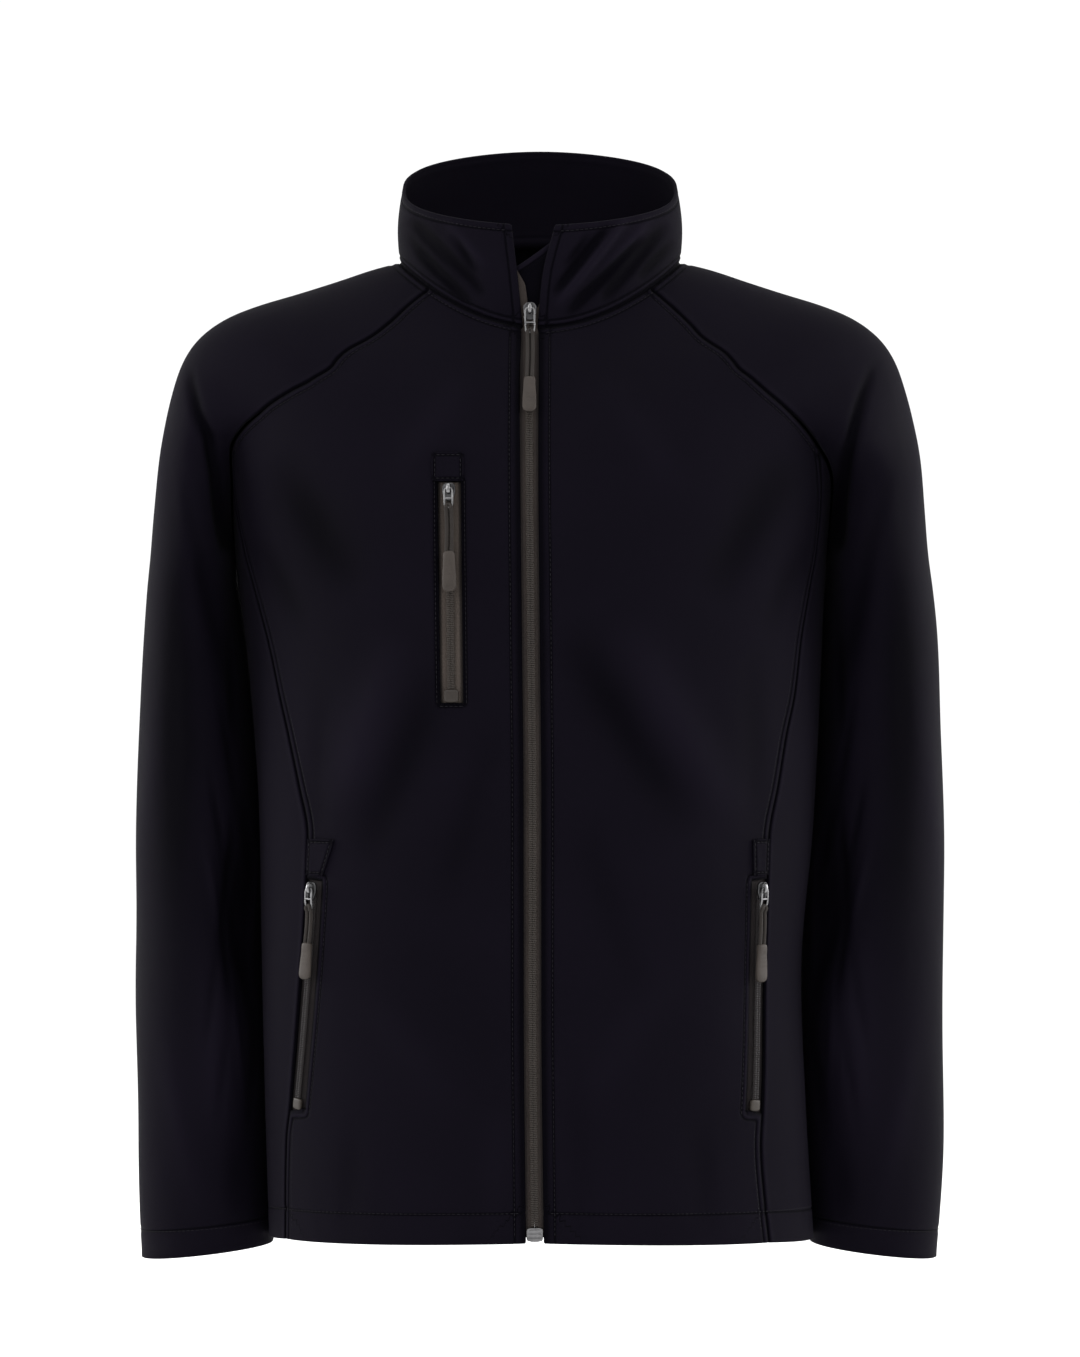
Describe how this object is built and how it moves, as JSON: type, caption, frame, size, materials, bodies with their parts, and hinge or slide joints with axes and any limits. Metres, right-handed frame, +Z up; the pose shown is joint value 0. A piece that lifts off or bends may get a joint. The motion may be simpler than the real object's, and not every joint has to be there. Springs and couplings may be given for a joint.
{
  "type": "softshell jacket",
  "caption": "Men's black softshell jacket, filled out as worn: raglan sleeves, stand collar, full front zip, upright chest pocket and slanted hand pockets, cord pulls with moulded tips",
  "frame": {"origin": "middle of the base of the neck, level with the shoulders' neck points", "axes": "+Z up, +X to the wearer's left, +Y to the wearer's back"},
  "size_m": [0.5863, 0.2453, 0.804],
  "materials": {
    "cloth": "matt bonded softshell, close plain weave face",
    "tape": "woven zip tape, taupe",
    "coil": "nylon coil, slightly shiny",
    "metal": "dark grey plated die-cast metal",
    "cord": "braided polyester cord, taupe",
    "tip": "matt moulded plastic, taupe"
  },
  "bodies": {
    "jacket": {"front_right": "cloth", "front_left": "cloth", "side_right": "cloth", "side_left": "cloth", "back": "cloth", "sleeve_right": "cloth", "sleeve_left": "cloth", "collar": "cloth", "chin_guard": "cloth", "garage_chest": "cloth", "garage_right": "cloth", "garage_left": "cloth", "zip_tape_right": "tape", "zip_tape_left": "tape", "chest_tape": "tape", "right_tape": "tape", "left_tape": "tape", "zip_coil": "coil", "chest_coil": "coil", "right_coil": "coil", "left_coil": "coil", "zip_stop": "coil", "chest_stop": "coil", "right_stop": "coil", "left_stop": "coil", "zip_slider": "metal", "chest_slider": "metal", "right_slider": "metal", "left_slider": "metal"},
    "zip_pull": {"zip_tab": "metal", "zip_cord": "cord", "zip_tip": "tip"},
    "chest_pull": {"chest_tab": "metal", "chest_cord": "cord", "chest_tip": "tip"},
    "right_pull": {"right_tab": "metal", "right_cord": "cord", "right_tip": "tip"},
    "left_pull": {"left_tab": "metal", "left_cord": "cord", "left_tip": "tip"}
  },
  "joints": [
    {"name": "zip_pull_hinge", "type": "hinge", "parent": "jacket", "child": "zip_pull", "pos_m": [-0.00721, -0.07565, -0.03874], "axis": [-0.9993, 0.0366, 0.0024], "range_deg": [0, 120]},
    {"name": "chest_pull_hinge", "type": "hinge", "parent": "jacket", "child": "chest_pull", "pos_m": [-0.06374, -0.12175, -0.16769], "axis": [-0.9959, 0.0867, -0.025], "range_deg": [0, 145]},
    {"name": "right_pull_hinge", "type": "hinge", "parent": "jacket", "child": "right_pull", "pos_m": [-0.16219, -0.0891, -0.44715], "axis": [-0.7976, 0.5994, 0.0669], "range_deg": [0, 145]},
    {"name": "left_pull_hinge", "type": "hinge", "parent": "jacket", "child": "left_pull", "pos_m": [0.15797, -0.08718, -0.44738], "axis": [-0.7714, -0.636, -0.0208], "range_deg": [0, 145]}
  ]
}
